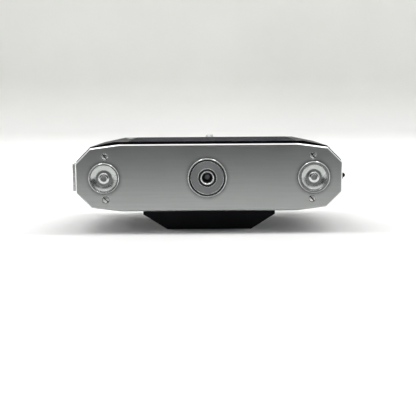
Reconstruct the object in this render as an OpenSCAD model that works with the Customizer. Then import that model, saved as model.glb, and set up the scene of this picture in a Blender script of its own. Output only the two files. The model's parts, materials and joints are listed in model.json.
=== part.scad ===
// Panoramic film camera with a swinging lens drum.
// It lies on the flat face of its front housing: X runs along the body, Y from the base plate
// to the top plate, and Z from the front housing to the back door. Millimetres.

/* [Body] */
// Width of the body over the base plate
body_w = 145; // [144:0.5:146]
// Depth of the body over the base plate
body_d = 36.5; // [36:0.1:37]
// Height between the outer faces of the base plate and the top plate
body_h = 66; // [65:0.5:68]
// Length of the flat at each end of the base plate
end_flat = 16; // [15:0.5:17]
// Width of the edge bevel on the base plate
base_bevel = 0.6; // [0.5:0.1:1]
// Thickness of the casting's walls
wall = 2; // [1.8:0.1:2.2]

/* [Front housing] */
// How far the front housing stands out of the body
housing_d = 11; // [10.5:0.5:12]
// Width of the front housing where it meets the body
housing_w = 73; // [72:0.2:74]
// Width of the front housing's flat face
housing_face_w = 46.6; // [45:0.2:48]

/* [Lens drum] */
// Outer radius of the lens drum
drum_r = 16; // [15.5:0.1:16.1]
// Radius of the curved film gate
gate_r = 26; // [25.8:0.1:26.2]
// Angle at which the parked drum looks to the side
park_angle = -70; // [-75:1:-65]

/* [Spools] */
// Distance of each spool axis from the middle
spool_x = 57; // [56.7:0.1:57.1]
// Radius of the film chambers
chamber_r = 12.7; // [12.6:0.1:12.8]
// Radius of the pins that hold the spools from below
pin_r = 2.5; // [2.4:0.05:2.6]

/* [Base fittings] */
// Radius of the ring round the tripod socket
tripod_ring_r = 10.6; // [10.4:0.1:11]
// Offset of the tripod socket from the middle
socket_x = -0.9; // [-1.5:0.1:0]
// Radius of the threaded hole in the tripod socket
socket_r = 2.6; // [2.5:0.05:3.2]
// Distance of the base screws above and below the spool axes
screw_pitch = 11.7; // [11.5:0.1:12]
// How far the base screws stand nearer to the middle than the spool axes
screw_inset = 0.8; // [0.5:0.1:1]

/* [Top fittings] */
// Radius of the winding knob
wind_r = 11.5; // [11:0.1:12]
// Radius of the rewind knob
rewind_r = 10.5; // [10:0.1:11]
// Height of the winding knob's top over the top plate
knob_h = 11; // [10:0.5:12]

/* [Back door] */
// How far the door's shell stands over the base plate's outline
door_proud = 0.7; // [0.5:0.1:0.8]
// How far the flat of the door's back stands over the base plate's outline
door_crown = 1.3; // [1.2:0.1:1.4]
// Half the width of the flat of the door's back
door_flat = 51.5; // [51:0.5:52]
// Thickness of the leatherette on the door
skin_t = 0.5; // [0.4:0.1:0.6]

/* [Hidden] */
$fn = 64;

chrome = "#b9bcbc";
satin = "#9a9d9c";
black = "#16181b";
leather = "#1d2025";
steel = "#8a8c8e";
brass = "#b08d4a";
glass = "#9fb6c4";

fit = 0.05;
eps = 0.01;
ring_h = 0.8;
base_rim = 4;
top_rim = 8;
cover_t = 1.5;
slope_x = 48.5;
corner_x = 64.2;
corner_z = 16.2;
far_x = 80;
far_z = 60;

y_base = -(ring_h + body_h + knob_h) / 2 + ring_h;
y_top = y_base + body_h;
y_low = y_base + base_rim;
y_high = y_top - top_rim;
y_in_low = y_low + wall;
y_in_high = y_high - wall;
film_y = (y_in_low + y_in_high) / 2;
z_mid = housing_d + body_d / 2;
z_split = z_mid + 0.5;
z_drum = 18.5;
frame_half = 12;
film_half = 17.5;

// The body's plan, counter-clockwise from the right end.
half_w = body_w / 2;
half_d = body_d / 2;
half_end = end_flat / 2;
quarter = [[half_w, half_end], [corner_x, corner_z], [slope_x, half_d]];
plan = concat(
  [for (p = quarter) [p.x, z_mid + p.y]],
  [for (i = [2:-1:0]) [-quarter[i].x, z_mid + quarter[i].y]],
  [for (p = quarter) [-p.x, z_mid - p.y]],
  [for (i = [2:-1:0]) [quarter[i].x, z_mid - quarter[i].y]]);

function unit(v) = v / norm(v);
function inset_corner(a, b, c, t) =
  let (u = unit(b - a), v = unit(c - b), m = [-u.y, u.x], n = [-v.y, v.x])
  b + (m + n) * t / (1 + m * n);
function outline(t) = let (n = len(plan))
  [for (i = [0:n - 1]) inset_corner(plan[(i + n - 1) % n], plan[i], plan[(i + 1) % n], t)];

// Stretches a plan shape, drawn in X and Z, between two heights along Y.
module slab(y_a, y_b) {
  translate([0, y_b, 0]) rotate([90, 0, 0]) linear_extrude(y_b - y_a) children();
}

module post(x, z, y_a, y_b, r) {
  translate([x, y_b, z]) rotate([90, 0, 0]) cylinder(h = y_b - y_a, r = r);
}

// Turned profiles, in radius and height: one grows out of the base, the other out of the top.
module turned_base(x, z) {
  translate([x, y_base, z]) rotate([90, 0, 0]) rotate_extrude() children();
}

module turned_top(x, z) {
  translate([x, y_top, z]) rotate([-90, 0, 0]) rotate_extrude() children();
}

// A wheel's outline with straight-sided teeth.
module toothed(x, z, r, teeth, depth) {
  step = 360 / teeth;
  translate([x, z]) polygon([for (i = [0:teeth - 1], k = [[0, 0], [0.28, 0], [0.42, 1], [0.86, 1]])
    (r - k[1] * depth) * [cos((i + k[0]) * step), sin((i + k[0]) * step)]]);
}

module box_xz(x_a, x_b, z_a, z_b) {
  translate([x_a, z_a]) square([x_b - x_a, z_b - z_a]);
}

module both_sides() {
  children();
  mirror([1, 0, 0]) children();
}

screw_x = spool_x - screw_inset;
base_screw_places = [for (s = [-1, 1], t = [-1, 1]) [s * screw_x, z_mid + t * screw_pitch]];
base_head_r = 2;
base_shank_r = 1;
base_sink = 0.6;
top_screw_x = 44;
top_screw_z = 14.4;
top_screw_places = [[-top_screw_x, z_mid - top_screw_z], [top_screw_x, z_mid - top_screw_z],
  [-top_screw_x, z_mid + top_screw_z], [top_screw_x / 2, z_mid + top_screw_z]];
top_head_r = 1.8;
top_shank_r = 0.9;
top_sink = 0.5;

// ---- Fixed frame -------------------------------------------------------------------------

spool_bore = pin_r + fit;
pivot_r = 2;
axle_r = 1;
sprocket_axle_r = 1.5;
blind_bore = 1.2;
bush_r = 5.2;
sprocket_place = [37.5, z_mid + 6.5];
roller_place = [28.6, z_mid + 1.5];
barrel_place = [10.4, z_mid - 1.3];
governor_place = [-9.5, z_mid - 3];
shutter_place = [33, z_mid - 9.5];
release_place = [20.5, z_mid - 13];
shaft_r = 3;

// How far the casting lies inside the base plate's outline: in front, under the door and inside.
front_in = 0.9;
under_door_in = 1.8;
hollow_in = 3.2;

module casting_plan() {
  intersection() {
    polygon(outline(front_in));
    box_xz(-far_x, far_x, 0, z_split);
  }
  intersection() {
    polygon(outline(under_door_in));
    box_xz(-far_x, far_x, z_split - eps, far_z);
  }
}

// Where the film runs: from the chamber's throat, past the sprocket, to the drum's well.
throat_z = z_mid - 3;
well_x = 34;
loading_x = 58;
loading_z = z_mid + 10;

module chamber_hollow() {
  translate([spool_x, z_mid]) circle(r = chamber_r);
  box_xz(spool_x, spool_x + 12, z_mid, far_z);
  box_xz(well_x - 4, spool_x + 1, throat_z, far_z);
  box_xz(well_x + 2, well_x + 8.5, throat_z - 13, z_mid);
}

module casting_hollow() {
  intersection() {
    polygon(outline(hollow_in));
    both_sides() chamber_hollow();
  }
  box_xz(-well_x, well_x, -5, far_z);
  box_xz(-loading_x, loading_x, loading_z, far_z);
}

hinge_x = 73.65;
hinge_z = z_mid + 0.4;
knuckle_r = 1.35;
hinge_pin_r = 0.8;
knuckle_count = 5;
knuckle_l = (y_in_high - y_in_low) / knuckle_count;
knuckle_gap = 0.15;

module knuckle(i, bore) {
  y_a = y_in_low + i * knuckle_l + knuckle_gap;
  y_b = y_in_low + (i + 1) * knuckle_l - knuckle_gap;
  difference() {
    union() {
      post(hinge_x, hinge_z, y_a, y_b, knuckle_r);
      slab(y_a, y_b) children();
    }
    post(hinge_x, hinge_z, y_a - 1, y_b + 1, bore);
  }
}

// The casting's two decks, which stand across the body at the base and at the top.
module lower_deck() {
  color(black) difference() {
    slab(y_low, y_in_low) casting_plan();
    for (s = [-1, 1]) {
      post(s * spool_x, z_mid, y_low - 1, y_in_low + 1, spool_bore);
      post(s * roller_place.x, roller_place.y, y_in_low - blind_bore, y_in_low + 1, axle_r + fit);
    }
    for (p = base_screw_places) post(p.x, p.y, y_low - 1, y_in_low + 1, base_shank_r);
    post(socket_x, z_mid, y_low - 1, y_in_low + 1, bush_r);
    post(0, z_drum, y_low - 1, y_in_low + 1, pivot_r + fit);
    post(sprocket_place.x, sprocket_place.y, y_in_low - blind_bore, y_in_low + 1,
      sprocket_axle_r + fit);
  }
}

module upper_deck() {
  color(black) {
    difference() {
      slab(y_in_high, y_high) casting_plan();
      for (s = [-1, 1]) {
        post(s * spool_x, z_mid, y_in_high - 1, y_high + 1, shaft_r + fit);
        post(s * roller_place.x, roller_place.y, y_in_high - 1, y_in_high + blind_bore, axle_r + fit);
      }
      post(0, z_drum, y_in_high - 1, y_high + 1, pivot_r + fit);
      post(sprocket_place.x, sprocket_place.y, y_in_high - 1, y_high + 1, sprocket_axle_r + fit);
      post(barrel_place.x, barrel_place.y, y_high - blind_bore, y_high + 1, axle_r + fit);
      post(governor_place.x, governor_place.y, y_high - blind_bore, y_high + 1, axle_r + fit);
    }
    for (p = top_screw_places) {
      difference() {
        post(p.x, p.y, y_high - eps, y_top - cover_t, top_shank_r + 1);
        post(p.x, p.y, y_high, y_top, top_shank_r);
      }
    }
  }
}

module chamber(x_a, x_b) {
  slab(y_in_low, y_in_high) intersection() {
    difference() {
      casting_plan();
      casting_hollow();
    }
    box_xz(x_a, x_b, 0, far_z);
  }
}

module left_chamber() {
  color(black) chamber(-far_x, 0);
}

module right_chamber() {
  color(black) {
    chamber(0, far_x);
    for (i = [0, 2, 4]) {
      knuckle(i, hinge_pin_r) polygon([[71.5, hinge_z - 5], [72.4, hinge_z - 5], [74.2, hinge_z - 1],
        [hinge_x, hinge_z - 0.5], [71.5, hinge_z - 1.4]]);
    }
  }
}

bezel_barrel_r = 7.9;
screw_post_r = 2.6;
socket_post_r = 7;

module base_plate() {
  color(satin) difference() {
    union() {
      difference() {
        union() {
          hull() {
            slab(y_base, y_base + eps) polygon(outline(base_bevel));
            slab(y_base + base_bevel, y_base + base_bevel + eps) polygon(outline(0));
          }
          slab(y_base + base_bevel, y_low) polygon(outline(0));
        }
        slab(y_base + cover_t, y_low + 1) polygon(outline(cover_t));
      }
      for (p = base_screw_places) post(p.x, p.y, y_base + 1, y_low, screw_post_r);
      post(socket_x, z_mid, y_base + 1, y_low, socket_post_r);
    }
    post(socket_x, z_mid, y_base - 1, y_low + 1, bush_r);
    for (s = [-1, 1]) post(s * spool_x, z_mid, y_base - 1, y_base + 3, bezel_barrel_r);
    for (p = base_screw_places) {
      post(p.x, p.y, y_base - 1, y_low + 1, base_shank_r);
      post(p.x, p.y, y_base - 1, y_base + base_sink, base_head_r);
    }
  }
}

module top_plate() {
  color(chrome) difference() {
    union() {
      slab(y_high, y_top - base_bevel) polygon(outline(0));
      hull() {
        slab(y_top - base_bevel - eps, y_top - base_bevel) polygon(outline(0));
        slab(y_top - eps, y_top) polygon(outline(base_bevel));
      }
    }
    slab(y_high - 1, y_top - cover_t) polygon(outline(cover_t));
    for (s = [-1, 1]) post(s * spool_x, z_mid, y_top - 3, y_top + 1, shaft_r + fit);
    post(speed_place.x, speed_place.y, y_top - 3, y_top + 1, dial_stem_r + fit);
    post(aperture_place.x, aperture_place.y, y_top - 3, y_top + 1, dial_stem_r + fit);
    post(shutter_place.x, shutter_place.y, y_top - 3, y_top + 1, collar_barrel_r);
    post(release_place.x, release_place.y, y_top - 3, y_top + 1, release_r + fit);
    for (p = top_screw_places) {
      post(p.x, p.y, y_top - 3, y_top + 1, top_shank_r);
      post(p.x, p.y, y_top - top_sink, y_top + 1, top_head_r);
    }
  }
}

housing_t = 1.6;
flange_z = 8.4;
window_half = 12.5;
window_half_w = 29;
window_sill = 3.6;
frame_half_w = 21.5;
frame_rim = 1.2;

module housing_plan(t) {
  half_a = housing_w / 2 - t * 1.3;
  half_b = housing_face_w / 2 - t * 0.6;
  polygon([[-half_a, housing_d + 1 + t], [-half_a, flange_z], [-half_b, t], [half_b, t],
    [half_a, flange_z], [half_a, housing_d + 1 + t]]);
}

module front_housing() {
  color(black) difference() {
    intersection() {
      slab(y_in_low, y_in_high) housing_plan(0);
      slab(y_in_low - 1, y_in_high + 1) box_xz(-60, 60, -1, housing_d + 0.9);
    }
    slab(y_in_low + housing_t, y_in_high - housing_t) housing_plan(housing_t);
    slab(film_y - window_half, film_y + window_half) {
      box_xz(-window_half_w, window_half_w, -1, window_sill);
    }
  }
}

module window_frame() {
  color(steel) difference() {
    slab(film_y - window_half, film_y + window_half) box_xz(-frame_half_w, frame_half_w, 0.6, 1.5);
    slab(film_y - window_half + frame_rim, film_y + window_half - frame_rim) {
      box_xz(frame_rim - frame_half_w, frame_half_w - frame_rim, 0, 2);
    }
  }
}

gate_t = 1.4;
gate_angle = 62;

module film_gate() {
  color(steel) difference() {
    slab(y_in_low, y_in_high) difference() {
      intersection() {
        translate([0, z_drum]) circle(r = gate_r);
        box_xz(-far_x, far_x, z_drum + gate_r * cos(gate_angle), far_z);
      }
      translate([0, z_drum]) circle(r = gate_r - gate_t);
    }
    slab(film_y - frame_half, film_y + frame_half) box_xz(-frame_half_w, frame_half_w, 0, far_z);
  }
}

module side_skin(z_limit) {
  slab(y_low + 0.3, y_high - 0.3) intersection() {
    difference() {
      polygon(outline(front_in - 0.6));
      polygon(outline(front_in));
    }
    box_xz(housing_w / 2 + 0.4, far_x, 0, z_limit);
  }
}

module front_skin_left() {
  color(leather) mirror([1, 0, 0]) side_skin(z_mid - 8.2);
}

module front_skin_right() {
  color(leather) side_skin(z_mid - 5.2);
}

slot_w = 0.56;
slot_depth = 0.35;

module slotted_screw(head_r, head_h, shank_r, shank_l, turn) {
  difference() {
    union() {
      cylinder(h = head_h, r = head_r);
      translate([0, 0, -shank_l]) cylinder(h = shank_l + eps, r = shank_r);
    }
    rotate(turn) translate([-head_r * 1.5, -slot_w / 2, head_h - slot_depth]) {
      cube([head_r * 3, slot_w, 1]);
    }
  }
}

module base_screws() {
  color(steel) for (p = base_screw_places) {
    translate([p.x, y_base + base_sink, p.y]) rotate([90, 0, 0]) {
      slotted_screw(base_head_r, base_sink + 0.2, base_shank_r, 5.2, -55);
    }
  }
}

module top_screws() {
  color(steel) for (p = top_screw_places) {
    translate([p.x, y_top - top_sink, p.y]) rotate([-90, 0, 0]) {
      slotted_screw(top_head_r, top_sink + 0.2, top_shank_r, 6, 30);
    }
  }
}

module tripod_ring() {
  color(satin) turned_base(socket_x, z_mid) polygon([[bush_r, 0], [tripod_ring_r, 0],
    [tripod_ring_r, ring_h - 0.25], [tripod_ring_r - 0.25, ring_h], [tripod_ring_r - 0.75, ring_h],
    [tripod_ring_r - 1, 0.3], [tripod_ring_r - 1.5, 0.3], [tripod_ring_r - 1.6, 0.6],
    [tripod_ring_r - 1.9, 0.6], [tripod_ring_r - 2, 0.4], [bush_r, 0.4]]);
}

bush_depth = 6;

module tripod_bush() {
  color(chrome) turned_base(socket_x, z_mid) polygon([[socket_r, ring_h], [3.9, ring_h], [4.1, 0.5],
    [bush_r - 0.3, 0.5], [bush_r - 0.2, 0.7], [bush_r, 0.7], [bush_r, -bush_depth], [0, -bush_depth],
    [0, 1.2 - bush_depth], [socket_r, 1.2 - bush_depth]]);
}

module pin_bezel(x, outer_r, inner_r) {
  turned_base(x, z_mid) polygon([[inner_r, ring_h - 0.2], [inner_r + 0.2, ring_h],
    [outer_r - 0.3, ring_h], [outer_r, ring_h - 0.3], [outer_r, 0], [bezel_barrel_r, 0],
    [bezel_barrel_r, -2.4], [spool_bore, -2.4], [spool_bore, -1.6], [inner_r, -1.6]]);
}

module left_pin_bezel() {
  color(chrome) pin_bezel(-spool_x, 8.4, 7.5);
}

module right_pin_bezel() {
  color(chrome) pin_bezel(spool_x, 8.7, 7.05);
}

module hinge_pin() {
  color(steel) post(hinge_x, hinge_z, y_in_low, y_in_high, hinge_pin_r);
}

latch_z_a = z_mid - 7;
latch_z_b = z_mid + 7.8;
latch_y = y_base + 2;
latch_l = 44;
latch_in = -half_w - 0.1;
latch_t = 1.6;

module latch_base() {
  color(steel) slab(y_low + 0.5, latch_y + latch_l - 2) {
    box_xz(-half_w, 0.9 - half_w, latch_z_a + 0.5, z_split - 0.4);
  }
}

// ---- Finder and level --------------------------------------------------------------------

finder_h = 10;
finder_front_z = z_mid - 16.5;
finder_back_z = z_mid + 16.5;
finder_wall = 1.2;
eye_y = y_top + 5.2;
eye_x = 0.6;
eye_r = 2.8;
eye_bore = 2.1;
eye_lens_r = 1.5;
finder_glass = [26, 6.8, 0.9];
finder_sill = 1.6;

module finder_plan(t) {
  polygon([[-16 + t, finder_front_z + t], [16 - t, finder_front_z + t], [11.5 - t, finder_back_z - t],
    [-11.5 + t, finder_back_z - t]]);
}

module finder_housing() {
  color(black) difference() {
    slab(y_top, y_top + finder_h) finder_plan(0);
    slab(y_top + finder_wall, y_top + finder_h - finder_wall) finder_plan(finder_wall);
    translate([-finder_glass.x / 2, y_top + finder_sill, finder_front_z - 1]) {
      cube([finder_glass.x, finder_glass.y, 3]);
    }
    translate([eye_x, eye_y, finder_back_z - 3]) cylinder(h = 5, r = eye_bore);
  }
}

module finder_front_lens() {
  color(glass) translate([-finder_glass.x / 2, y_top + finder_sill, finder_front_z + 0.2]) {
    cube(finder_glass);
  }
}

module finder_eyepiece() {
  color(steel) translate([eye_x, eye_y, finder_back_z]) rotate_extrude() polygon([[eye_bore, -1],
    [eye_bore, 0], [eye_r, 0], [eye_r, 2], [eye_r - 0.9, 4], [eye_lens_r, 4], [eye_lens_r, -1]]);
}

module eyepiece_lens() {
  color(glass) translate([eye_x, eye_y, finder_back_z + 1]) cylinder(h = 1.4, r = eye_lens_r);
}

level_place = [-22.5, z_mid + 10.5];
vial_r = 3.5;
vial_y = 0.5;

module level_case() {
  color(chrome) turned_top(level_place.x, level_place.y) polygon([[0, 0], [4.4, 0], [4.4, 1.6],
    [4.1, 1.9], [vial_r, 1.9], [vial_r, vial_y], [0, vial_y]]);
}

module level_vial() {
  color("#b7c94a") turned_top(level_place.x, level_place.y) polygon([[0, vial_y],
    [vial_r, vial_y], [vial_r, 1.4], [2.4, 1.9], [0, 2.1]]);
}

// ---- Back door ---------------------------------------------------------------------------

door_t = 1.5;
skin_left = -44;
skin_right = 47.7;
skin_in = 0.4;

door_z = z_mid + half_d + door_crown;
door_in_z = z_mid + half_d + door_proud - door_t;
door_edge = [for (p = outline(-door_proud))
  p.y > z_mid + half_d ? [sign(p.x) * door_flat, door_z] : p];

module door_plan() {
  difference() {
    intersection() {
      polygon(door_edge);
      box_xz(0.1 - half_w, half_w - 0.1, z_split + 0.3, far_z);
    }
    intersection() {
      polygon(outline(door_t - door_proud));
      box_xz(1.3 - half_w, half_w - 1.3, 0, far_z);
    }
  }
}

module back_door() {
  color(black) {
    difference() {
      slab(y_low + 0.3, y_high - 0.3) door_plan();
      post(hinge_x, hinge_z, y_low - 1, y_high + 1, knuckle_r + 0.3);
      translate([0, 0, door_z - skin_in]) linear_extrude(2 * skin_in) skin_plan();
    }
    for (i = [1, 3]) {
      knuckle(i, hinge_pin_r + fit) polygon([[72.4, hinge_z + 3.6], [71.3, hinge_z + 3.6],
        [71.3, hinge_z + 1.6], [72.6, hinge_z], [hinge_x, hinge_z], [74.2, hinge_z + 1]]);
    }
  }
}

module skin_plan() {
  translate([skin_left, y_low + 1]) square([skin_right - skin_left, y_high - y_low - 2]);
}

module door_skin() {
  color(leather) translate([0, 0, door_z - skin_in]) linear_extrude(skin_t) skin_plan();
}

rivet_x = -46.6;
rivet_y = [-2, 6];
spring_t = 0.5;
spring_tip = [-57, z_mid + 14.4];

module door_rivets() {
  color(steel) for (y = rivet_y) {
    translate([rivet_x, y, door_z]) cylinder(h = 0.3, r = 1.6);
  }
}

module cassette_spring() {
  foot = [rivet_x + 3, rivet_x - 1];
  color(steel) slab(rivet_y[0] - 2.5, rivet_y[1] + 2.5) polygon([[foot[0], door_in_z],
    [foot[0], door_in_z - spring_t], [foot[1] + 0.3, door_in_z - spring_t],
    [spring_tip.x + 0.4, spring_tip.y - 0.4], spring_tip, [foot[1], door_in_z]]);
}

module door_latch() {
  color(chrome) {
    slab(latch_y, latch_y + latch_l) box_xz(latch_in - latch_t, latch_in, latch_z_a, latch_z_b);
    slab(latch_y + 14, latch_y + 30) {
      box_xz(-hinge_x - knuckle_r, eps + latch_in - latch_t, latch_z_a + 3, latch_z_b - 3);
    }
  }
}

// ---- Spool pins in the base --------------------------------------------------------------

pin_reach = 4;

// A pull-out pin: a disc with a sloping rim round a dish, and a dimpled button in the middle.
module spool_pin(x, disc_r, flat_r, dish_r, button_r, dimple_r) {
  turned_base(x, z_mid) polygon([[0, 0.3], [dimple_r - 0.15, 0.35], [dimple_r, 0.7],
    [(dimple_r + button_r) / 2, 0.74], [button_r, 0.4], [button_r + 0.1, -0.5], [dish_r, -0.5],
    [flat_r, 0.45], [disc_r, 0.1], [disc_r, -1.5], [pin_r, -1.5],
    [pin_r, -base_rim - wall - pin_reach], [0, -base_rim - wall - pin_reach]]);
}

module left_spool_pin() {
  color(chrome) spool_pin(-spool_x, 7.4, 7.1, 4.4, 3, 1.6);
}

module right_spool_pin() {
  color(chrome) spool_pin(spool_x, 6.95, 6.75, 4.3, 2.95, 1.45);
}

// ---- Lens drum ---------------------------------------------------------------------------

drum_half = 16;
drum_t = 1.2;
barrel_r = 6;
lens_r = 4;
slit_w = 1.6;

module parked() {
  translate([0, 0, z_drum]) rotate([0, park_angle, 0]) translate([0, 0, -z_drum]) children();
}

module lens_drum() {
  color(black) parked() difference() {
    union() {
      post(0, z_drum, film_y - drum_half, film_y + drum_half, drum_r);
      post(0, z_drum, y_low + 0.3, film_y, pivot_r);
      post(0, z_drum, film_y, y_high + 3.4, pivot_r);
    }
    post(0, z_drum, film_y - drum_half + drum_t, film_y + drum_half - drum_t, drum_r - drum_t);
    translate([0, film_y, 0]) cylinder(h = z_drum, r = barrel_r);
    translate([-slit_w / 2, film_y - frame_half, z_drum]) {
      cube([slit_w, 2 * frame_half, drum_r + 1]);
    }
  }
}

module lens_barrel() {
  color(chrome) parked() translate([0, film_y, z_drum]) rotate([180, 0, 0]) rotate_extrude() {
    polygon([[lens_r, 2], [barrel_r, 2], [barrel_r, 14.6], [barrel_r - 0.8, 15.2],
      [lens_r + 0.4, 15.2], [lens_r, 13.5]]);
  }
}

module front_element() {
  color(glass) parked() translate([0, film_y, z_drum]) rotate([180, 0, 0]) rotate_extrude() {
    polygon([[0, 10.5], [lens_r, 10.5], [lens_r, 12.2], [2.4, 12.9], [0, 13.2]]);
  }
}

module rear_element() {
  color(glass) parked() translate([0, film_y, z_drum]) rotate([180, 0, 0]) rotate_extrude() {
    polygon([[0, 3.2], [2.4, 3.4], [lens_r, 4], [lens_r, 5.6], [0, 5.6]]);
  }
}

// The shutter's gears and the film's gears stand at their own heights in the top space.
gear_t = 2;
shutter_gear_y = y_high + 0.5;
film_gear_y = y_high + 0.6;

module drum_gear() {
  color(brass) difference() {
    slab(shutter_gear_y, shutter_gear_y + gear_t) toothed(0, z_drum, 5.6, 20, 0.8);
    post(0, z_drum, y_high, y_high + 3, pivot_r);
  }
}

module spring_barrel() {
  color(brass) {
    slab(shutter_gear_y, shutter_gear_y + gear_t) {
      toothed(barrel_place.x, barrel_place.y, 7.9, 28, 0.8);
    }
    post(barrel_place.x, barrel_place.y, y_high + 2.4, y_high + 5.6, 6.4);
    post(barrel_place.x, barrel_place.y, y_high - 1, y_high + 1, axle_r);
  }
}

module governor_wheel() {
  color(brass) {
    slab(shutter_gear_y, shutter_gear_y + 1.2) {
      toothed(governor_place.x, governor_place.y, 5.8, 24, 0.7);
    }
    post(governor_place.x, governor_place.y, y_high - 1, y_high + 5, axle_r);
    post(governor_place.x, governor_place.y, y_high + 3, y_high + 4.4, 3.4);
  }
}

// ---- Film transport ----------------------------------------------------------------------

module roller(x) {
  post(x, roller_place.y, film_y - film_half, film_y + film_half, 3.2);
  post(x, roller_place.y, y_in_low - 1, y_in_high + 1, axle_r);
}

module left_roller() {
  color(steel) roller(-roller_place.x);
}

module right_roller() {
  color(steel) roller(roller_place.x);
}

sprocket_half = 14.1;

module sprocket() {
  color(steel) {
    post(sprocket_place.x, sprocket_place.y, film_y - film_half, film_y + film_half, 4.4);
    post(sprocket_place.x, sprocket_place.y, y_in_low - 1, y_high + 3.2, sprocket_axle_r);
    for (s = [-1, 1]) {
      slab(film_y + s * sprocket_half - 1, film_y + s * sprocket_half + 1) {
        toothed(sprocket_place.x, sprocket_place.y, 5.4, 8, 0.9);
      }
    }
  }
}

module sprocket_gear() {
  color(brass) difference() {
    slab(film_gear_y, film_gear_y + gear_t) {
      toothed(sprocket_place.x, sprocket_place.y, 9.2, 30, 0.9);
    }
    post(sprocket_place.x, sprocket_place.y, y_high, y_high + 3, sprocket_axle_r);
  }
}

spool_flange_r = 12.1;
spool_flange_t = 1.6;

module take_up_spool() {
  y_a = y_in_low + 0.3;
  y_b = y_in_high - 0.3;
  color(black) difference() {
    union() {
      post(spool_x, z_mid, y_a, y_b, 5.4);
      post(spool_x, z_mid, y_a, y_a + spool_flange_t, spool_flange_r);
      post(spool_x, z_mid, y_b - spool_flange_t, y_b, spool_flange_r);
    }
    post(spool_x, z_mid, y_a - 1, y_a + 6, pin_r + 0.2);
    post(spool_x, z_mid, y_b - 5, y_b + 1, shaft_r + 0.2);
    translate([spool_x - 0.5, film_y - 10, z_mid]) cube([1, 20, 8]);
  }
}

// A knob with a knurled rim, a plain upper ring and a shallow dish.
knob_cap = 1.2;
knob_roof = 2.5;
drive_slot = 1.4;

module knob(x, z, r, y_a, y_b, ribs) {
  cap = y_b - knob_cap;
  dish = r - 2.6;
  difference() {
    union() {
      slab(y_top + y_a, y_top + cap) toothed(x, z, r, ribs, 0.4);
      turned_top(x, z) polygon([[0, cap - eps], [r - 0.1, cap - eps], [r - 0.1, cap + 0.4],
        [r - 0.9, y_b], [0, y_b]]);
    }
    turned_top(x, z) polygon([[0, y_b - 0.7], [dish - 1, y_b - 0.5], [dish, y_b], [dish, y_b + 1],
      [0, y_b + 1]]);
    post(x, z, y_top - 1, y_top + y_b - knob_roof, shaft_r);
  }
}

module winding_knob() {
  color(chrome) knob(spool_x, z_mid, wind_r, 3.2, knob_h, 48);
}

module winding_shaft() {
  color(steel) difference() {
    post(spool_x, z_mid, y_in_high - 4, y_top + knob_h - knob_roof, shaft_r);
    translate([spool_x - drive_slot / 2, y_in_high - 5, z_mid - 5]) cube([drive_slot, 3, 10]);
  }
}

module winding_gear() {
  color(brass) difference() {
    slab(film_gear_y, film_gear_y + gear_t) toothed(spool_x, z_mid, 11.1, 36, 0.9);
    post(spool_x, z_mid, y_high, y_high + 3, shaft_r);
  }
}

counter_r = 13.4;

module counter_dial() {
  color(black) turned_top(spool_x, z_mid) polygon([[shaft_r + 0.15, 0.3], [counter_r - 0.2, 0.3],
    [counter_r, 0.5], [counter_r, 2.2], [counter_r - 0.8, 2.9], [shaft_r + 0.15, 2.9]]);
}

rewind_h = knob_h - 2;

module rewind_knob() {
  color(chrome) knob(-spool_x, z_mid, rewind_r, 0.5, rewind_h, 44);
}

module rewind_fork() {
  color(steel) difference() {
    post(-spool_x, z_mid, y_in_high - 6, y_top + rewind_h - knob_roof, shaft_r);
    translate([-spool_x - drive_slot / 2, y_in_high - 7, z_mid - 5]) cube([drive_slot, 4, 10]);
  }
}

// ---- Controls on the top plate -----------------------------------------------------------

speed_place = [-33, z_mid - 7];
aperture_place = [29, z_mid + 8.5];
dial_stem_r = 2;
thread_r = 1.3;
collar_barrel_r = 4.2;
collar_bore_r = 3.7;
plunger_r = 1.5;
release_r = 2;

module shutter_collar() {
  color(chrome) turned_top(shutter_place.x, shutter_place.y) polygon([[collar_bore_r, 1.8],
    [4.9, 1.8], [5.5, 1.2], [5.5, 0], [collar_barrel_r, 0], [collar_barrel_r, -cover_t],
    [collar_bore_r, -cover_t]]);
}

module shutter_button() {
  color(chrome) turned_top(shutter_place.x, shutter_place.y) polygon([[thread_r, 3.2],
    [2.6, 3.1], [collar_bore_r - 0.1, 2.6], [collar_bore_r - 0.1, -1.2], [plunger_r, -1.2],
    [plunger_r, -5.6], [0, -5.6], [0, -0.4], [thread_r, -0.4]]);
}

module release_button() {
  color(steel) turned_top(release_place.x, release_place.y) polygon([[0, 1.4],
    [release_r - 0.6, 1.4], [release_r, 1], [release_r, -3], [0, -3]]);
}

module dial(place, r, h, ribs) {
  slab(y_top + 0.3, y_top + h - 0.6) toothed(place.x, place.y, r, ribs, 0.35);
  turned_top(place.x, place.y) polygon([[0, h - 0.6 - eps], [r - 0.2, h - 0.6 - eps],
    [r - 0.8, h], [0, h]]);
  post(place.x, place.y, y_top - 3.5, y_top + 1, dial_stem_r);
}

module speed_dial() {
  color(chrome) dial(speed_place, 8.5, 4.4, 40);
}

module aperture_dial() {
  color(chrome) dial(aperture_place, 7.2, 3.8, 36);
}

lower_deck();
upper_deck();
left_chamber();
right_chamber();
base_plate();
top_plate();
front_housing();
window_frame();
film_gate();
front_skin_left();
front_skin_right();
base_screws();
top_screws();
tripod_ring();
tripod_bush();
left_pin_bezel();
right_pin_bezel();
hinge_pin();
latch_base();
finder_housing();
finder_front_lens();
finder_eyepiece();
eyepiece_lens();
level_case();
level_vial();
shutter_collar();
back_door();
door_skin();
door_rivets();
cassette_spring();
door_latch();
left_spool_pin();
right_spool_pin();
lens_drum();
lens_barrel();
front_element();
rear_element();
drum_gear();
spring_barrel();
governor_wheel();
left_roller();
right_roller();
sprocket();
sprocket_gear();
take_up_spool();
winding_knob();
winding_shaft();
winding_gear();
counter_dial();
rewind_knob();
rewind_fork();
shutter_button();
release_button();
speed_dial();
aperture_dial();
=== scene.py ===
import json
import math

import bmesh
import bpy
from mathutils import Matrix, Vector


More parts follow.
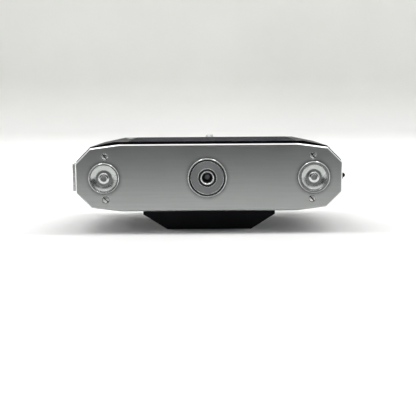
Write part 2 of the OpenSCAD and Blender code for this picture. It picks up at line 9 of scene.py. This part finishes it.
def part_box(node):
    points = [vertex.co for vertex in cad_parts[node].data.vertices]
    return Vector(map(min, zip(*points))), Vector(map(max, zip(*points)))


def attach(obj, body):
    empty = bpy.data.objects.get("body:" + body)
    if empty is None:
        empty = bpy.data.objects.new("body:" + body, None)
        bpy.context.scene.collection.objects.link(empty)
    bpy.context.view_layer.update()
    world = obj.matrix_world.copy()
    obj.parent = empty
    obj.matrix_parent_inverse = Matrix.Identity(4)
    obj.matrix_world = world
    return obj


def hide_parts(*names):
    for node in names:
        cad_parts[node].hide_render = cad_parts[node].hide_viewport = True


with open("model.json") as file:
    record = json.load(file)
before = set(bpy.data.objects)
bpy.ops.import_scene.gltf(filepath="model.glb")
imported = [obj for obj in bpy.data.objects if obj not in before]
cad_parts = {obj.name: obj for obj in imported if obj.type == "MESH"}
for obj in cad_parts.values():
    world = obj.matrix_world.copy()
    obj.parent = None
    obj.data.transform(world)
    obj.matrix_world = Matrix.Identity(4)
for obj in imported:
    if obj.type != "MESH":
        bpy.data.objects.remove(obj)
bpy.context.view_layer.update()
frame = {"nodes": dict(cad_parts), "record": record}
nodes = frame["nodes"]

MM = 0.001
BASE_SIDE = Vector((0, -1, 0))
TOP_SIDE = Vector((0, 1, 0))
Y_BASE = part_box("base_plate")[0].y


def middle(node):
    """The middle of a CAD node's box."""
    low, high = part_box(node)
    return (low + high) / 2


# ---- Materials ---------------------------------------------------------------------------


class Surface:
    """One procedural material: a Principled shader with helpers that add nodes to it."""

    def __init__(self, name, color, metallic=0.0, roughness=0.5, **sockets):
        self.material = bpy.data.materials.new(name)
        self.material.use_nodes = True
        self.tree = self.material.node_tree
        self.shader = self.tree.nodes["Principled BSDF"]
        self.color = color
        self.set("Base Color", (*color, 1))
        self.set("Metallic", metallic)
        self.set("Roughness", roughness)
        for socket, value in sockets.items():
            self.set(socket.replace("_", " "), value)
        self.place = self.tree.nodes.new("ShaderNodeTexCoord")
        self.height = None

    def set(self, socket, value):
        self.shader.inputs[socket].default_value = value

    def add(self, kind, inputs=(), **settings):
        node = self.tree.nodes.new(kind)
        for key, value in settings.items():
            setattr(node, key, value)
        for key, value in dict(inputs).items():
            if isinstance(value, bpy.types.NodeSocket):
                self.tree.links.new(value, node.inputs[key])
            else:
                node.inputs[key].default_value = value
        return node

    def link(self, source, socket):
        self.tree.links.new(source, self.shader.inputs[socket])

    def noise(self, size, detail=3.0, stretch=(1, 1, 1), rough=0.5):
        """Noise with features of about this size in metres, drawn out along the axes in stretch."""
        spread = self.add("ShaderNodeMapping", {"Vector": self.place.outputs["Object"],
                                                "Scale": [1 / s for s in stretch]})
        node = self.add("ShaderNodeTexNoise", {"Vector": spread.outputs[0], "Scale": 1 / size,
                                               "Detail": detail, "Roughness": rough})
        return node.outputs["Fac"]

    def span(self, value, low, high, start=0.3, end=0.7):
        """A value between start and end, spread over low to high."""
        node = self.add("ShaderNodeMapRange", {"Value": value, "From Min": start, "From Max": end,
                                               "To Min": low, "To Max": high})
        return node.outputs[0]

    def mix(self, factor, first, second):
        """Colour first where factor is 0 and colour second where it is 1."""
        node = self.add("ShaderNodeMix", data_type="RGBA")
        self.tree.links.new(factor, node.inputs["Factor"])
        for key, value in (("A", first), ("B", second)):
            socket = [s for s in node.inputs if s.name == key and s.type == "RGBA"][0]
            if isinstance(value, bpy.types.NodeSocket):
                self.tree.links.new(value, socket)
            else:
                socket.default_value = (*value, 1)
        return [s for s in node.outputs if s.type == "RGBA"][0]

    def math(self, operation, first, second=0.0):
        node = self.add("ShaderNodeMath", {0: first, 1: second}, operation=operation)
        return node.outputs[0]

    def bump(self, height, depth):
        """Adds a bump of this depth in metres on top of the earlier ones."""
        node = self.add("ShaderNodeBump", {"Height": height, "Distance": depth, "Strength": 1.0})
        if self.height:
            self.tree.links.new(self.height.outputs[0], node.inputs["Normal"])
        self.height = node
        self.link(node.outputs[0], "Normal")

    def shade(self, size, amount, detail=4.0):
        """Varies the base colour by this amount, in patches of this size."""
        patches = self.span(self.noise(size, detail), 0, 1)
        dark = [c * (1 - amount) for c in self.color]
        light = [min(1, c * (1 + amount)) for c in self.color]
        self.link(self.mix(patches, dark, light), "Base Color")

    def gloss(self, size, low, high, stretch=(1, 1, 1)):
        """Varies the roughness between low and high."""
        self.link(self.span(self.noise(size, 5, stretch), low, high), "Roughness")

    def radius(self):
        """Distance from the piece's own Y axis."""
        parts = self.add("ShaderNodeSeparateXYZ", {0: self.place.outputs["Object"]})
        squares = [self.math("POWER", parts.outputs[i], 2.0) for i in (0, 2)]
        return self.math("SQRT", self.math("ADD", *squares))

    def edge_mask(self, reach):
        """1 along the edges of a piece, 0 on its flats."""
        rounded = self.add("ShaderNodeBevel", {"Radius": reach}, samples=4)
        flat = self.add("ShaderNodeNewGeometry").outputs["Normal"]
        dot = self.add("ShaderNodeVectorMath", {0: rounded.outputs[0], 1: flat},
                       operation="DOT_PRODUCT")
        return self.span(dot.outputs["Value"], 1, 0, 0.86, 0.985)


def satin_plate():
    """Fine-brushed aluminium whose flat face is matt and whose bevels are polished."""
    s = Surface("satin_aluminium", (0.66, 0.67, 0.665), 1.0, 0.4)
    brushed = s.noise(0.00022, 4, (60, 60, 1))
    s.bump(brushed, 0.0000035)
    streaks = s.noise(0.0011, 3, (30, 30, 1))
    facing = s.add("ShaderNodeSeparateXYZ", {0: s.place.outputs["Normal"]}).outputs[1]
    flat = s.span(s.math("ABSOLUTE", facing), 0, 1, 0.93, 0.99)
    smudge = s.span(s.noise(0.014, 1), 0.27, 0.31, 0.1, 0.9)
    rough = s.add("ShaderNodeMix", {0: flat, 2: 0.3, 3: smudge}, data_type="FLOAT")
    s.link(rough.outputs[0], "Roughness")
    face = s.mix(s.span(streaks, 0, 1), (0.415, 0.427, 0.421), (0.445, 0.455, 0.447))
    # Painted shade: the face darkens to a dark grey in a soft halo round the turned fittings.
    face = s.mix(fitting_halo_shade(s), face, (0.13, 0.135, 0.13))
    s.link(s.mix(flat, (0.8, 0.8, 0.79), face), "Base Color")
    return s.material


def fitting_halo_shade(s):
    """1 beside the turned fittings and 0 away from them, mottled a little: the mask of a painted
    shade halo round the fittings.
    """
    plan = s.add("ShaderNodeVectorMath", {0: s.add("ShaderNodeNewGeometry").outputs["Position"],
                                          1: (1, 0, 1)}, operation="MULTIPLY").outputs[0]
    halo_shade = None
    for node in ("tripod_ring", "left_pin_bezel", "right_pin_bezel"):
        low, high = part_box(node)
        centre, radius = (low + high) / 2, (high.x - low.x) / 2
        away = s.add("ShaderNodeVectorMath", {0: plan, 1: (centre.x, 0, centre.z)},
                     operation="DISTANCE").outputs["Value"]
        near = s.math("POWER", s.span(away, 1, 0, radius, radius + 0.0028), 2.5)
        halo_shade = near if halo_shade is None else s.math("MAXIMUM", halo_shade, near)
    return s.math("MULTIPLY", halo_shade, s.span(s.noise(0.002, 5), 0.6, 1.0))


def turned_metal(name, color, roughness, groove=0.00016, depth=0.000004):
    """Metal turned on a lathe, with fine rings round the piece's own axis."""
    s = Surface(name, color, 1.0, roughness, Anisotropic=0.8, Anisotropic_Rotation=0.25)
    rings = s.add("ShaderNodeTexNoise", {"W": s.math("MULTIPLY", s.radius(), 1 / groove),
                                         "Scale": 1.0, "Detail": 2.0}, noise_dimensions="1D")
    s.bump(rings.outputs["Fac"], depth)
    s.gloss(0.004, roughness * 0.8, roughness * 1.25)
    s.shade(0.006, 0.06)
    tangent = s.add("ShaderNodeTangent", direction_type="RADIAL", axis="Y")
    s.link(tangent.outputs[0], "Tangent")
    return s.material


def satin_chrome():
    """Fine-grained matt chrome plate with fingerprints and small scuffs."""
    s = Surface("satin_chrome", (0.74, 0.745, 0.74), 1.0, 0.32)
    s.bump(s.noise(0.00012, 3), 0.000006)
    s.gloss(0.011, 0.26, 0.4)
    s.shade(0.018, 0.05)
    return s.material


def plain_metal(name, color, roughness):
    """Machined metal with fine tool marks."""
    s = Surface(name, color, 1.0, roughness)
    s.bump(s.noise(0.0003, 3, (1, 8, 1)), 0.000005)
    s.gloss(0.005, roughness * 0.75, roughness * 1.3)
    s.shade(0.004, 0.12)
    return s.material


def black_enamel():
    """Semi-matt stoved enamel, worn a little brighter along its edges."""
    s = Surface("black_enamel", (0.012, 0.013, 0.017), 0.0, 0.38, Specular_IOR_Level=0.08)
    s.bump(s.noise(0.0005, 2), 0.000012)
    s.gloss(0.012, 0.3, 0.5)
    worn = s.math("MULTIPLY", s.edge_mask(0.00035), s.span(s.noise(0.003, 6), 0, 1, 0.5, 0.62))
    patches = s.span(s.noise(0.02, 4), 0, 1)
    paint = s.mix(patches, (0.002, 0.0022, 0.0035), (0.0035, 0.004, 0.006))
    s.link(s.mix(s.math("MULTIPLY", worn, 0.8), paint, (0.22, 0.19, 0.15)), "Base Color")
    return s.material


def leatherette():
    """Black leathercloth with a fine pebble grain."""
    s = Surface("leatherette", (0.018, 0.019, 0.024), 0.0, 0.6, Specular_IOR_Level=0.1)
    cells = s.add("ShaderNodeTexVoronoi", {"Vector": s.place.outputs["Object"], "Scale": 1300.0,
                                           "Randomness": 0.9}, feature="SMOOTH_F1")
    pebble = s.span(cells.outputs["Distance"], 1, 0, 0.1, 0.75)
    s.bump(pebble, 0.00009)
    s.bump(s.noise(0.0035, 4), 0.00005)
    s.gloss(0.009, 0.6, 0.78)
    worn = s.span(s.noise(0.012, 6), 0, 1, 0.35, 0.75)
    grain = s.mix(pebble, (0.005, 0.0053, 0.0075), (0.018, 0.019, 0.025))
    s.link(s.mix(worn, grain, (0.016, 0.017, 0.023)), "Base Color")
    return s.material


def black_moulding():
    """Black moulded plastic with a fine grain."""
    s = Surface("black_moulding", (0.02, 0.02, 0.022), 0.0, 0.5)
    s.bump(s.noise(0.0004, 3), 0.00001)
    s.gloss(0.01, 0.42, 0.6)
    s.shade(0.01, 0.25)
    return s.material


def coated_glass():
    """Lens glass with a faint violet coating."""
    s = Surface("coated_glass", (0.86, 0.9, 0.96), 0.0, 0.03, Transmission_Weight=1.0, IOR=1.52)
    s.gloss(0.004, 0.02, 0.06)
    s.shade(0.01, 0.05)
    return s.material


def level_fluid():
    """The yellow-green fluid of the bubble level."""
    s = Surface("level_fluid", (0.58, 0.72, 0.12), 0.0, 0.05, Transmission_Weight=0.6, IOR=1.4)
    s.shade(0.003, 0.12)
    s.gloss(0.003, 0.03, 0.09)
    return s.material


MATERIALS = {
    "satin_aluminium": satin_plate(),
    "satin_chrome": satin_chrome(),
    "chrome": turned_metal("turned_chrome", (0.7, 0.71, 0.7), 0.22),
    "matt_turned": turned_metal("turned_matt", (0.55, 0.565, 0.55), 0.24),
    "dark_turned": turned_metal("turned_dark", (0.27, 0.275, 0.28), 0.4),
    # Nearly black turned metal, painted shade: it goes on groove walls and floors, recess walls and
    # the thread, where shade falls.
    "grimy": turned_metal("turned_shade_black", (0.05, 0.05, 0.052), 0.45),
    "steel": plain_metal("machined_steel", (0.6, 0.605, 0.6), 0.28),
    "brass": plain_metal("machined_brass", (0.62, 0.46, 0.2), 0.3),
    "black_paint": black_enamel(),
    "leatherette": leatherette(),
    "black_plastic": black_moulding(),
    "glass": coated_glass(),
    "level_fluid": level_fluid(),
}

# ---- Making pieces -----------------------------------------------------------------------

SPIN_STEPS = 128
DEFAULT_EDGE = 0.00012
WELD_REACH = 0.000001
FLAT_ANGLE = math.radians(0.5)
FLAT_NODES = {"base_plate", "top_plate", "front_housing", "back_door", "door_skin", "door_latch",
              "latch_base", "front_skin_left", "front_skin_right", "finder_housing", "lower_deck",
              "finder_front_lens", "window_frame", "upper_deck", "cassette_spring"}


def soften(piece, width, angle=32):
    """Rounds a piece's edges sharper than this angle by this width, and smooths the rest."""
    piece.data.polygons.foreach_set("use_smooth", [True] * len(piece.data.polygons))
    edge = piece.modifiers.new("edge", "BEVEL")
    edge.width = width
    edge.segments = 2
    edge.limit_method = "ANGLE"
    edge.angle_limit = math.radians(angle)
    edge.use_clamp_overlap = True
    edge.miter_outer = "MITER_ARC"
    weight = piece.modifiers.new("normals", "WEIGHTED_NORMAL")
    weight.keep_sharp = True
    weight.weight = 80


def finish_node(node):
    """Gives a CAD node its material and rounds its edges with modifiers."""
    piece = nodes[node]
    weld = piece.modifiers.new("weld", "WELD")
    weld.merge_threshold = WELD_REACH
    flats = piece.modifiers.new("flats", "DECIMATE")
    flats.decimate_type = "DISSOLVE"
    flats.angle_limit = FLAT_ANGLE
    soften(piece, DEFAULT_EDGE)
    if node in FLAT_NODES:
        piece.modifiers.remove(piece.modifiers["normals"])
        piece.data.polygons.foreach_set("use_smooth", [False] * len(piece.data.polygons))
    look = [s["material_slot"] for s in frame["record"]["subparts"] if s["node"] == node][0]
    piece.data.materials.clear()
    piece.data.materials.append(MATERIALS[look])


def new_piece(name, mesh, body, look, place=(0, 0, 0), stands_for=()):
    """Puts a finished mesh in the scene as a piece that rides on a body."""
    piece = bpy.data.objects.new(name, mesh)
    bpy.context.collection.objects.link(piece)
    piece.location = place
    looks = look if isinstance(look, tuple) else (look,)
    for one in looks:
        mesh.materials.append(MATERIALS[one])
    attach(piece, body)
    if stands_for:
        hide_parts(*stands_for)
    return piece


def spun_mesh(name, profile, bands):
    """A solid of revolution about an axis through the origin, along BASE_SIDE. The profile is a
    closed outline of (radius, height) in millimetres, and bands gives the material number of the
    profile's stretches that don't take the first material."""
    side = Vector((1, 0, 0))
    across = BASE_SIDE.cross(side)
    angles = [2 * math.pi * i / SPIN_STEPS for i in range(SPIN_STEPS)]
    work = bmesh.new()
    rings = []
    for radius, height in profile:
        centre = BASE_SIDE * height * MM
        if radius == 0:
            rings.append([work.verts.new(centre)])
            continue
        arms = [(side * math.cos(a) + across * math.sin(a)) * radius * MM for a in angles]
        rings.append([work.verts.new(centre + arm) for arm in arms])
    for k, ring in enumerate(rings):
        other = rings[(k + 1) % len(rings)]
        for i in range(SPIN_STEPS):
            j = (i + 1) % SPIN_STEPS
            corners = [ring[i % len(ring)], ring[j % len(ring)],
                       other[j % len(other)], other[i % len(other)]]
            corners = list(dict.fromkeys(corners))
            if len(corners) > 2:
                face = work.faces.new(corners)
                face.material_index = dict(bands).get(k, 0)
    bmesh.ops.recalc_face_normals(work, faces=work.faces)
    mesh = bpy.data.meshes.new(name)
    work.to_mesh(mesh)
    work.free()
    return mesh


def spun_piece(name, node, profile, look, body, bands):
    """A turned piece in place of a CAD node in the base plate, on that node's axis."""
    centre = middle(node)
    mesh = spun_mesh(name, profile, bands)
    piece = new_piece(name, mesh, body, look, (centre.x, Y_BASE, centre.z), (node,))
    soften(piece, width=0.00006, angle=25)


# ---- Base fittings -----------------------------------------------------------------------

# How far the turned rims stand out of the plate. These shapes are in millimetres.
RING_H = 0.8


def radius_of(node):
    """The radius of a round CAD node in the base plate, in millimetres."""
    low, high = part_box(node)
    return (high.x - low.x) / 2 / MM


def tripod_ring():
    """The turned ring round the socket: a bright rim, a dark groove and a thin inner rim."""
    r = radius_of("tripod_ring")
    bush_r = radius_of("tripod_bush")
    profile = [(bush_r, 0), (r, 0), (r, 0.5), (r - 0.28, RING_H), (r - 0.62, RING_H),
               (r - 0.95, 0.25), (r - 1.5, 0.22), (r - 1.62, 0.55), (r - 1.9, 0.58),
               (r - 2.02, 0.38), (bush_r, 0.34)]
    # The groove's walls and floor and the inner rim's inner face take the nearly black metal:
    # painted shade in the groove.
    spun_piece("socket_ring", "tripod_ring", profile, ("chrome", "dark_turned", "grimy"), "camera",
               bands=((4, 2), (5, 2), (8, 2), (9, 1)))


def tripod_bush():
    """The threaded bush: two bright rims round a bore with a helical thread."""
    bore = 2.6
    depth = 4.8
    bush_r = radius_of("tripod_bush")
    profile = [(bore + 0.35, RING_H - 0.35), (bore + 0.75, RING_H - 0.02), (3.7, RING_H - 0.05),
               (3.85, 0.3), (bush_r - 0.5, 0.2), (bush_r - 0.3, 0.62), (bush_r - 0.06, 0.66),
               (bush_r, 0.5), (bush_r, -6), (0, -6), (0, 0.6 - depth), (1.4, 0.6 - depth),
               (1.5, -depth), (bore + 0.35, -depth)]
    # The groove between the rims, the bore's wall and its bottom ledge take the nearly black metal:
    # painted shade in the hollows.
    spun_piece("socket_bush", "tripod_bush", profile, ("chrome", "dark_turned", "grimy"), "camera",
               bands=((2, 2), (3, 2), (4, 2), (10, 1), (12, 2), (13, 2)))
    thread(bore, depth)


def thread(bore, depth):
    """The 1/4 inch thread, 20 turns to the inch, as one helical surface."""
    pitch = 1.27
    groove = 0.32
    mouth_r = bore + 0.35
    mouth = RING_H - 0.35
    steps = 96
    rows = 64
    work = bmesh.new()
    grid = []
    for k in range(rows + 1):
        height = mouth - k / rows * (depth + mouth)
        row = []
        for i in range(steps):
            phase = (height / pitch - i / steps) % 1
            radius = bore + groove * abs(2 * phase - 1) if k else mouth_r
            angle = 2 * math.pi * i / steps
            x, z = radius * math.cos(angle), radius * math.sin(angle)
            row.append(work.verts.new(Vector((x, -height, z)) * MM))
        grid.append(row)
    for k in range(rows):
        for i in range(steps):
            j = (i + 1) % steps
            face = work.faces.new([grid[k][i], grid[k][j], grid[k + 1][j], grid[k + 1][i]])
            face.smooth = True
    mesh = bpy.data.meshes.new("socket_thread")
    work.to_mesh(mesh)
    work.free()
    centre = middle("tripod_bush")
    # The whole thread is nearly black metal: painted shade inside the bore.
    new_piece("socket_thread", mesh, "camera", "grimy", (centre.x, Y_BASE, centre.z))


def pin_bezels():
    """The collars that the two spool pins sit in, dull on top and bright along their edges."""
    seat_r, pin_r, depth, seat = 7.9, 2.55, -2.4, -1.6
    for side, outer, inner in (("left", 8.4, 7.5), ("right", 8.7, 7.05)):
        profile = [(inner, RING_H - 0.3), (inner + 0.2, RING_H), (outer - 0.45, RING_H),
                   (outer - 0.1, RING_H - 0.3), (outer, 0.15), (outer, 0), (seat_r, 0),
                   (seat_r, depth), (pin_r, depth), (pin_r, seat), (inner, seat)]
        # The outer side of each collar down to the plate, and the floor and wall of its seat, take
        # the nearly black metal: painted shade.
        spun_piece(side + "_bezel", side + "_pin_bezel", profile,
                   ("chrome", "dark_turned", "grimy"), "camera",
                   bands=((1, 1), (3, 2), (4, 2), (9, 2), (10, 2)))


def spool_pins():
    """The pull-out spool pins: a disc, a sloping bright dish and a domed, dimpled button."""
    pin_r, back, reach, floor_level, crest = 2.5, -1.5, -10, -0.55, 0.76
    slope = (0, 0.2, 0.4, 0.6, 0.8, 1)
    for side, disc, flat, dish, button, dimple in (("left", 7.4, 7.1, 4.4, 3.0, 1.6),
                                                   ("right", 6.95, 6.75, 4.3, 2.95, 1.45)):
        cone = [(dish + (flat - dish) * t, floor_level + t ** 1.6) for t in slope]
        crown = [(dimple + 0.08 + (button - dimple - 0.08) * t, crest - 0.45 * t ** 2)
                 for t in slope]
        hollow = [(0, 0.3), (dimple - 0.15, 0.34), (dimple, 0.7)]
        shank = [(flat + 0.1, 0.45), (disc, 0.2), (disc, back), (pin_r, back), (pin_r, reach),
                 (0, reach)]
        profile = hollow + crown + [(button + 0.08, floor_level)] + cone + shank
        floor = len(hollow) + len(crown)
        # The dimple's wall and the wall from the button's edge down to the floor take the nearly
        # black metal: painted shade in the hollows.
        bands = [(0, 1), (1, 2), (floor - 1, 2), (floor, 1), (floor + len(cone) + 1, 1)]
        bands += [(floor + 1 + k, 3) for k in range(len(cone))]
        spun_piece(side + "_pin", side + "_spool_pin", profile,
                   ("chrome", "dark_turned", "grimy", "matt_turned"), side + "_pin", bands=bands)


def half_head(work, centre, turn, radius, slot):
    """Half a domed screw head beside its slot, on a base plate face that points along -Y."""
    steps = 24
    along = Vector((math.cos(turn), 0, math.sin(turn)))
    across = Vector((-math.sin(turn), 0, math.cos(turn)))
    rows = []
    for r, height in ((radius, -0.5), (radius, 0.02), (radius - 0.12, 0.13), (radius * 0.7, 0.2),
                      (radius * 0.35, 0.23)):
        row = []
        for i in range(steps + 1):
            a = math.pi * i / steps
            u, v = r * math.cos(a), max(r * math.sin(a), slot / 2)
            row.append(work.verts.new((centre + (along * u + across * v - TOP_SIDE * height) * MM)))
        rows.append(row)
    for low, high in zip(rows, rows[1:]):
        for i in range(steps):
            work.faces.new([low[i], low[i + 1], high[i + 1], high[i]])
    work.faces.new(rows[-1])
    work.faces.new([row[0] for row in rows] + [row[-1] for row in reversed(rows)])


def base_screws():
    """Four slotted screws in their recesses, each turned its own way."""
    head, slot, rim, floor = 1.72, 0.62, 1.99, 0.5
    low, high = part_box("base_screws")
    inset = 2.0 * MM
    work = bmesh.new()
    for x, z, turn in ((low.x + inset, high.z - inset, -54), (low.x + inset, low.z + inset, -43),
                       (high.x - inset, high.z - inset, -50), (high.x - inset, low.z + inset, -50)):
        centre = Vector((x, 0, z))
        for half in (0, math.pi):
            half_head(work, centre, math.radians(turn) + half, head, slot)
        # The recess floor under each head is black paint: painted shade, showing black through the
        # slot and the thin gap round the head.
        ring = [work.verts.new(centre + Vector((rim * math.cos(a), floor, rim * math.sin(a))) * MM)
                for a in [math.radians(10 * i) for i in range(36)]]
        work.faces.new(ring).material_index = 1
    bmesh.ops.remove_doubles(work, verts=work.verts, dist=WELD_REACH)
    bmesh.ops.recalc_face_normals(work, faces=work.faces)
    mesh = bpy.data.meshes.new("base_screw_heads")
    work.to_mesh(mesh)
    work.free()
    piece = new_piece("base_screw_heads", mesh, "camera", ("steel", "black_paint"), (0, Y_BASE, 0),
                      ("base_screws",))
    soften(piece, 0.00004, 30)


tripod_ring()
tripod_bush()
pin_bezels()
spool_pins()
base_screws()

# ---- CAD nodes that keep their shape -----------------------------------------------------

replaced = {"tripod_ring", "tripod_bush", "left_pin_bezel", "right_pin_bezel", "left_spool_pin",
            "right_spool_pin", "base_screws"}
for node in nodes:
    if node not in replaced:
        finish_node(node)

# ---- Stage, light and camera -------------------------------------------------------------

CEILING = 1.8


def sweep():
    """A white floor that curves up into the backdrop, and pale walls round the other sides."""
    floor_color = (0.8, 0.8, 0.785)
    s = Surface("paper", floor_color, 0.0, 0.7)
    s.bump(s.noise(0.06, 4), 0.0006)
    # Painted shade: the upright part of the sweep and the walls take a greyer colour than the
    # floor, in soft patches.
    level = s.add("ShaderNodeSeparateXYZ", {0: s.place.outputs["Object"]}).outputs[2]
    wall = s.mix(s.span(s.noise(0.25, 4), 0, 1), (0.7, 0.702, 0.672), (0.74, 0.742, 0.712))
    s.link(s.mix(s.span(level, 0, 1, 0.01, 0.09), floor_color, wall), "Base Color")
    s.gloss(0.05, 0.6, 0.8)
    start, radius, half, front, height = 1.45, 0.15, 3.0, -3.0, 2.5
    path = [(front, 0.0), (start, 0.0)]
    path += [(start + radius * math.sin(a), radius * (1 - math.cos(a)))
             for a in [math.radians(5 * i) for i in range(1, 19)]]
    path.append((start + radius, height))
    work = bmesh.new()
    rows = [[work.verts.new((x, y, z)) for x in (-half, half)] for y, z in path]
    for low, high in zip(rows, rows[1:]):
        face = work.faces.new([low[0], low[1], high[1], high[0]])
        face.smooth = True
    mesh = bpy.data.meshes.new("sweep")
    work.to_mesh(mesh)
    work.free()
    mesh.materials.append(s.material)
    floor = bpy.data.objects.new("sweep", mesh)
    bpy.context.collection.objects.link(floor)
    corners = [(-half, start + radius), (-half, front), (half, front), (half, start + radius)]
    walls = bpy.data.meshes.new("walls")
    walls.from_pydata([(x, y, z) for z in (0, height) for x, y in corners], [],
                      [(k, k + 1, k + 5, k + 4) for k in range(3)])
    walls.materials.append(s.material)
    room = bpy.data.objects.new("walls", walls)
    bpy.context.collection.objects.link(room)
    for ray in ("diffuse", "glossy", "transmission", "shadow"):
        setattr(room, "visible_" + ray, False)


def area_light(name, place, aim, size, power):
    """A rectangular lamp at place, turned towards aim."""
    data = bpy.data.lights.new(name, "AREA")
    data.shape = "RECTANGLE"
    data.size, data.size_y = size
    data.energy = power
    lamp = bpy.data.objects.new(name, data)
    bpy.context.collection.objects.link(lamp)
    lamp.location = place
    lamp.rotation_euler = (Vector(aim) - Vector(place)).to_track_quat("-Z", "Y").to_euler()
    return lamp


def card(name, corners, color, strength):
    """A glowing card that only reflections see."""
    s = Surface(name, (0.0, 0.0, 0.0), 0.0, 1.0)
    s.set("Specular IOR Level", 0.0)
    s.set("Emission Color", (*color, 1))
    s.set("Emission Strength", strength)
    mesh = bpy.data.meshes.new(name)
    mesh.from_pydata(corners, [], [(0, 1, 2, 3)])
    mesh.materials.append(s.material)
    piece = bpy.data.objects.new(name, mesh)
    bpy.context.collection.objects.link(piece)
    for ray in ("camera", "diffuse", "transmission", "shadow", "volume_scatter"):
        setattr(piece, "visible_" + ray, False)


def reflections():
    """What the metal reflects: the dim room in front of the base plate, the ceiling with its two
    lamps, and the side walls."""
    half, height, away = 0.32, 0.2, -0.3
    card("dim_side", [(-half, away, 0), (half, away, 0), (half, away, height),
                      (-half, away, height)], (0.85, 0.95, 1.0), 0.05)
    end, front, back = 3.0, -2.6, 0.9
    card("ceiling", [(-end, front, CEILING), (end, front, CEILING), (end, back, CEILING),
                     (-end, back, CEILING)], (1, 1, 1), 1.2)
    wall, wall_front, wall_back = 0.9, -1, 0.5
    lamp_near, lamp_far, lamp_half, lamp_level = 0.55, 1.05, 0.5, CEILING - 0.05
    for side in (-1, 1):
        x = side * wall
        card("side_wall", [(x, wall_front, 0), (x, wall_back, 0), (x, wall_back, CEILING),
                           (x, wall_front, CEILING)], (1, 1, 1), 0.9)
        near, far = side * lamp_near, side * lamp_far
        card("lamp", [(near, -lamp_half, lamp_level), (far, -lamp_half, lamp_level),
                      (far, lamp_half, lamp_level), (near, lamp_half, lamp_level)], (1, 1, 1), 7.0)


def world_light():
    """A room that is bright behind the object and at its sides, and dim in front of it."""
    world = bpy.data.worlds.new("room")
    bpy.context.scene.world = world
    world.use_nodes = True
    tree = world.node_tree
    background = tree.nodes["Background"]
    background.inputs["Color"].default_value = (0.9, 0.95, 1.0, 1)
    direction = tree.nodes.new("ShaderNodeTexCoord")
    parts = tree.nodes.new("ShaderNodeSeparateXYZ")
    spread = tree.nodes.new("ShaderNodeMapRange")
    for socket, value in (("From Min", -0.3), ("From Max", 0.5), ("To Min", 0.05), ("To Max", 0.9)):
        spread.inputs[socket].default_value = value
    tree.links.new(direction.outputs["Generated"], parts.inputs[0])
    tree.links.new(parts.outputs[1], spread.inputs["Value"])
    tree.links.new(spread.outputs[0], background.inputs["Strength"])


def camera():
    """The camera stands in front of the base plate and looks slightly down at it."""
    away, height = 0.375, 0.0673
    aim = Vector((-0.0006, Y_BASE, 0.0127))
    data = bpy.data.cameras.new("view")
    data.lens = 60.1
    data.sensor_width = 36
    view = bpy.data.objects.new("view", data)
    bpy.context.collection.objects.link(view)
    view.location = (aim.x, Y_BASE - away, height)
    look = (aim - view.location).to_track_quat("-Z", "Y")
    roll = Matrix.Rotation(math.radians(-0.4), 3, "Z").to_quaternion()
    view.rotation_euler = (look @ roll).to_euler()
    bpy.context.scene.camera = view


def lamps():
    """Two long lamps overhead, a weak one low at each side, and one over the floor behind."""
    tube_x, tube_y, low_x, low_y, low_z, far_y, far_z = 1.55, 0.32, 0.75, 0.35, 0.1, 1.1, 1.3
    for side in (-1, 1):
        tube = area_light("tube", (side * tube_x, tube_y, CEILING), (side * tube_x, tube_y, 0),
                          (2.85, 0.3), 36)
        tube.visible_glossy = False
        low = area_light("low_side", (side * low_x, low_y, low_z), (0, 0, 0), (0.3, 0.12), 5)
        low.visible_glossy = False
    area_light("far_floor", (0, far_y, far_z), (0, far_y, 0), (2.4, 0.6), 3)


sweep()
world_light()
lamps()
reflections()
camera()
bpy.context.scene.view_settings.view_transform = "Standard"
